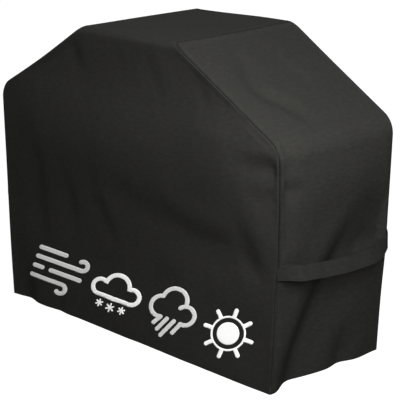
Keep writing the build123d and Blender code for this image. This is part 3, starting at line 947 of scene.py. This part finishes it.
class Graph:
    """A material's nodes, with short ways to add them."""

    def __init__(self, name):
        self.material = bpy.data.materials.new(name)
        self.material.use_nodes = True
        self.tree = self.material.node_tree
        self.shader = self.tree.nodes["Principled BSDF"]

    def put(self, value, socket):
        if hasattr(value, "is_linked"):
            self.tree.links.new(value, socket)
        else:
            socket.default_value = value

    def node(self, kind, inputs=(), **settings):
        made = self.tree.nodes.new("ShaderNode" + kind)
        for key, value in settings.items():
            setattr(made, key, value)
        for key, value in dict(inputs).items():
            self.put(value, made.inputs[key])
        return made

    def math(self, operation, a, b=0.0):
        return self.node("Math", {0: a, 1: b}, operation=operation).outputs[0]

    def times(self, a, b):
        return self.math("MULTIPLY", a, b)

    def noise(self, vector, scale, detail=2.0, stretch=(1, 1, 1), rough=0.5):
        moved = self.node("Mapping", {"Vector": vector, "Scale": stretch}).outputs[0]
        inputs = {"Vector": moved, "Scale": scale, "Detail": detail, "Roughness": rough}
        return self.node("TexNoise", inputs).outputs["Fac"]

    def vary(self, noise, amount):
        """This noise, spread over this amount around 0."""
        return self.times(self.math("SUBTRACT", noise, 0.5), amount)

    def mottle(self, noise, amount):
        """This noise, spread over this amount around 1."""
        return self.math("ADD", self.vary(noise, amount), 1.0)

    def wave(self, vector, scale, distortion, direction):
        inputs = {"Vector": vector, "Scale": scale, "Distortion": distortion}
        return self.node("TexWave", inputs, bands_direction=direction).outputs["Fac"]

    def height_of(self, vector):
        return self.node("SeparateXYZ", {0: vector}).outputs[2]

    def span(self, value, from_low, from_high, to_low, to_high):
        made = self.node("MapRange", {"Value": value, "From Min": from_low, "From Max": from_high,
                                      "To Min": to_low, "To Max": to_high})
        made.clamp = True
        return made.outputs[0]

    def weave(self, vector, pitch):
        """Height of a plain weave with yarns this far apart, and 1 where the lengthwise yarn is on top."""
        u, v, _ = self.node("SeparateXYZ", {0: vector}).outputs
        a = self.math("SINE", self.times(u, math.pi / pitch))
        b = self.math("SINE", self.times(v, math.pi / pitch))
        over = self.times(self.times(self.math("SIGN", a), b), 0.55)
        under = self.times(self.times(self.math("SIGN", b), a), -0.55)
        lengthwise = self.math("ADD", self.math("ABSOLUTE", a), over)
        crosswise = self.math("ADD", self.math("ABSOLUTE", b), under)
        return self.math("MAXIMUM", lengthwise, crosswise), self.math("GREATER_THAN", lengthwise, crosswise)

    def tint(self, colour, factor):
        """The colour, brightened or darkened all over by a factor."""
        factors = self.node("CombineXYZ", {0: factor, 1: factor, 2: factor}).outputs[0]
        return self.node("VectorMath", {0: colour, 1: factors}, operation="MULTIPLY").outputs[0]

    def bump(self, height, distance, strength=1.0, normal=None):
        inputs = {"Height": height, "Distance": distance, "Strength": strength}
        if normal is not None:
            inputs["Normal"] = normal
        return self.node("Bump", inputs).outputs[0]

    def finish(self, colour, roughness, normal=None, specular=0.3, sheen=0.0, sheen_roughness=0.4):
        self.put(colour, self.shader.inputs["Base Color"])
        self.put(roughness, self.shader.inputs["Roughness"])
        self.shader.inputs["Specular IOR Level"].default_value = specular
        self.shader.inputs["Sheen Weight"].default_value = sheen
        self.shader.inputs["Sheen Roughness"].default_value = sheen_roughness
        if normal is not None:
            self.put(normal, self.shader.inputs["Normal"])
        return self.material


def woven_cloth(name, colour, pitch):
    g = Graph(name)
    cloth = g.node("UVMap", uv_map="Cloth").outputs[0]
    space = g.node("TexCoord").outputs["Object"]
    height, on_top = g.weave(cloth, pitch)
    # yarns differ a little from each other, along the cloth and across it
    yarn = g.math("ADD", g.vary(g.noise(cloth, 900, 2.0, (1.0, 0.06, 1.0)), 0.45),
                  g.vary(g.noise(cloth, 900, 2.0, (0.06, 1.0, 1.0)), 0.45))
    slubs = g.vary(g.noise(cloth, 110, 4.0, (0.35, 1.0, 1.0), 0.6), 0.90)
    blotches = g.vary(g.noise(space, 5, 4.0), 0.22)
    # a little dust, and painted light from above: lighter wherever the cloth leans back from upright, and
    # painted shade where it leans forward
    leaning = g.height_of(g.node("NewGeometry").outputs["Normal"])
    dust_and_painted_light = g.span(leaning, -0.2, 0.3, -0.10, 0.12)
    # and lighter towards the top of the cover
    up = g.height_of(space)
    lighter_higher_up = g.span(up, 0.30, 1.0, -0.02, 0.15)
    # worn in patches, with a painted highlight, on the ridge beside a seam, where that faces up
    gap = g.node("Attribute", attribute_name="seam_gap").outputs["Fac"]
    ridge = g.times(g.span(gap, 0.016, 0.006, 0, 1), g.span(gap, 0.001, 0.005, 0, 1))
    raised = g.times(ridge, g.span(leaning, 0.05, 0.5, 0.25, 1.0))
    wear_and_highlight = g.times(g.times(raised, g.span(g.noise(space, 34, 3.0), 0.42, 0.62, 0.2, 1.0)), 0.26)
    # painted shade in the seam's groove, but less of it on the slopes and near the hem, where little draws
    # it tight
    groove_shade = g.times(g.span(gap, 0.0012, 0.0068, -0.60, 0.0), g.span(leaning, 0.05, 0.5, 1.0, 0.7))
    groove_shade = g.times(groove_shade, g.span(up, 0.30, 0.62, 0.35, 1.0))
    # yarn tops lighter and the hollows between yarns darker: painted highlight and painted shade of the
    # weave
    weave_hollow_shade = g.times(g.math("SUBTRACT", height, 0.85), 0.35)
    total = 1.0
    for part in (yarn, slubs, blotches, dust_and_painted_light, lighter_higher_up, wear_and_highlight, groove_shade, weave_hollow_shade, g.times(on_top, -0.10)):
        total = g.math("ADD", part, total)
    rough = g.math("ADD", g.vary(g.noise(space, 60, 2.0), 0.16), g.math("ADD", g.times(wear_and_highlight, -0.14), 0.80))
    soft = g.bump(g.noise(cloth, 260, 3.0), 0.0004, 0.5)
    normal = g.bump(height, pitch * 0.28, 0.55, soft)
    return g.finish(g.tint(colour, total), rough, normal, specular=0.05)


def coated_backing(name, colour):
    g = Graph(name)
    cloth = g.node("UVMap", uv_map="Cloth").outputs[0]
    height, _ = g.weave(cloth, 0.0012)
    colour = g.tint(colour, g.mottle(g.noise(cloth, 22, 4.0), 0.35))
    rough = g.span(g.noise(cloth, 40, 2.0), 0.3, 0.7, 0.38, 0.52)
    return g.finish(colour, rough, g.bump(height, 0.0001, 0.5), specular=0.4)


def woven_tape(name, colour):
    g = Graph(name)
    space = g.node("TexCoord").outputs["Object"]
    ribs = g.wave(space, 260, 1.5, "Z")
    colour = g.tint(colour, g.mottle(g.noise(space, 300, 3.0), 0.5))
    return g.finish(colour, g.span(ribs, 0, 1, 0.62, 0.8), g.bump(ribs, 0.0002, 0.6), specular=0.25)


def twisted_thread(name, colour):
    g = Graph(name)
    space = g.node("TexCoord").outputs["Object"]
    twist = g.wave(space, 900, 2.0, "DIAGONAL")
    # the twist's grooves darker and its ridges lighter: painted shade and painted highlight of the plies
    colour = g.tint(colour, g.math("ADD", g.times(twist, 0.5), 0.75))
    rough = g.span(g.noise(space, 700), 0.3, 0.7, 0.38, 0.55)
    return g.finish(colour, rough, g.bump(twist, 0.00012, 0.7), specular=0.15)


def printed_ink(name, colour):
    g = Graph(name)
    cloth = g.node("UVMap", uv_map="Cloth").outputs[0]
    height, _ = g.weave(cloth, 0.0008)
    thin = g.span(g.noise(cloth, 700, 3.0), 0.30, 0.42, 0.86, 1.0)
    colour = g.tint(colour, g.times(thin, g.mottle(g.noise(cloth, 90, 4.0), 0.10)))
    rough = g.span(g.noise(cloth, 120, 2.0), 0.3, 0.7, 0.50, 0.66)
    return g.finish(colour, rough, g.bump(height, 0.00012, 0.5), specular=0.3)


CLOTH_COLOUR = (0.0150, 0.0149, 0.0137)
cloth_material = woven_cloth("Cover cloth", CLOTH_COLOUR, 0.0008)
strap_material = woven_cloth("Strap cloth", (0.0116, 0.0115, 0.0105), 0.0008)
backing_material = coated_backing("Waterproof backing", (0.019, 0.019, 0.0195))
tape_material = woven_tape("Binding tape", (0.011, 0.011, 0.010))
thread_material = twisted_thread("Thread", (0.0125, 0.0125, 0.0115))
white_ink = printed_ink("White ink", (0.86, 0.86, 0.85))
grey_ink = printed_ink("Grey ink", (0.60, 0.60, 0.59))

# ---- The cover ----

ENDS = (("right", 1, right_end), ("left", -1, left_end))

body_cloth = make_body_cloth()
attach(body_cloth, "cover")
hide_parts("body_panel")

for node, material, slot in (
    ("wind_print", grey_ink, "grey_ink"), ("snow_cloud_print", white_ink, "white_ink"),
    ("rain_cloud_print", grey_ink, "grey_ink"), ("sun_print", white_ink, "white_ink"),
):
    ink = make_print(node, material)
    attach(ink, "cover")
    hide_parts(node)

HEM_THREAD_HEIGHT = 0.024
HEM_THREAD_END = 0.010
across = np.arange(-1, 1.0001, 0.005)
half_hem = half_width_at(HEM_THREAD_HEIGHT) - HEM_THREAD_END
for name, v in (("front", HEM_THREAD_HEIGHT), ("back", body_path.length - HEM_THREAD_HEIGHT)):
    thread = stitch_mesh(name + "_hem_stitches", [on_panel(body, row_at(across * half_hem, v))])
    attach(thread, "cover")
    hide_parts(name + "_hem_stitching")

for prefix, side, panel in ENDS:
    cloth = make_end_cloth(prefix + "_end_cloth", panel, side < 0)
    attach(cloth, "cover")
    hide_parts(prefix + "_end_panel")

    across_end = across * (half_depth_at(HEM_THREAD_HEIGHT) - HEM_THREAD_END)
    hem = stitch_mesh(prefix + "_hem_stitches", [on_panel(panel, row_at(across_end, HEM_THREAD_HEIGHT))])
    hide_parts(prefix + "_hem_stitching")
    tape, seam = make_binding(prefix, side)
    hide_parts(prefix + "_seam_binding")
    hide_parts(prefix + "_seam_stitching")
    for piece in (hem, tape, seam):
        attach(piece, "cover")

    for end, strap, thread in make_strap(prefix, side):
        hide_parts(f"{prefix}_handle_{end}_end", f"{prefix}_handle_strap")
        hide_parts(prefix + "_handle_stitching")
        for piece in (strap, thread):
            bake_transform(piece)

# ---- Studio ----

CAMERA = Vector((3.7606, -3.7092, 2.0422))
AZIMUTH, ELEVATION, ROLL = math.radians(44.84), math.radians(16.36), math.radians(0.33)
MIDDLE = Vector((0, 0, 0.5))


def add_camera():
    camera = bpy.data.objects.new("Camera", bpy.data.cameras.new("Camera"))
    bpy.context.scene.collection.objects.link(camera)
    back = Vector((math.sin(AZIMUTH) * math.cos(ELEVATION), -math.cos(AZIMUTH) * math.cos(ELEVATION),
                   math.sin(ELEVATION)))
    turn = back.to_track_quat("Z", "Y").to_matrix() @ Matrix.Rotation(ROLL, 3, "Z")
    camera.location = CAMERA
    camera.rotation_euler = turn.to_euler()
    camera.data.lens = 128.8
    camera.data.sensor_width = 36
    bpy.context.scene.camera = camera


def add_area(name, direction, distance, size, power):
    light = bpy.data.objects.new(name, bpy.data.lights.new(name, "AREA"))
    bpy.context.scene.collection.objects.link(light)
    toward = Vector(direction).normalized()
    light.location = MIDDLE + toward * distance
    light.rotation_euler = toward.to_track_quat("Z", "Y").to_euler()
    light.data.size = size
    light.data.energy = power
    light.visible_glossy = False  # so that the dull cloth has no glare when seen against the light


def add_floor():
    size = 60
    corners = [(-size, -size, -0.001), (size, -size, -0.001), (size, size, -0.001), (-size, size, -0.001)]
    floor = new_object("Floor", corners, [(0, 1, 2, 3)])
    g = Graph("Floor")
    g.shader.inputs["Emission Color"].default_value = (1, 1, 1, 1)
    g.shader.inputs["Emission Strength"].default_value = 0.9
    floor.data.materials.append(g.finish((0.20, 0.20, 0.20, 1), 0.9, specular=0.0))
    floor.visible_diffuse = False
    floor.visible_glossy = False


add_camera()
add_floor()
add_area("Key", (0.755, -0.475, 0.452), 2.6, 1.5, 115)


def add_world():
    """Soft light that is stronger from above than from below."""
    world = bpy.data.worlds.new("Studio")
    bpy.context.scene.world = world
    world.use_nodes = True
    tree = world.node_tree
    place = tree.nodes.new("ShaderNodeTexCoord")
    parts = tree.nodes.new("ShaderNodeSeparateXYZ")
    ramp = tree.nodes.new("ShaderNodeMapRange")
    for key, value in (("From Min", -0.4), ("From Max", 1.0), ("To Min", 0.10), ("To Max", 0.92)):
        ramp.inputs[key].default_value = value
    background = tree.nodes["Background"]
    tree.links.new(place.outputs["Generated"], parts.inputs[0])
    tree.links.new(parts.outputs["Z"], ramp.inputs["Value"])
    tree.links.new(ramp.outputs[0], background.inputs["Strength"])
    background.inputs["Color"].default_value = (1, 1, 1, 1)


add_world()
bpy.context.scene.view_settings.view_transform = "Standard"
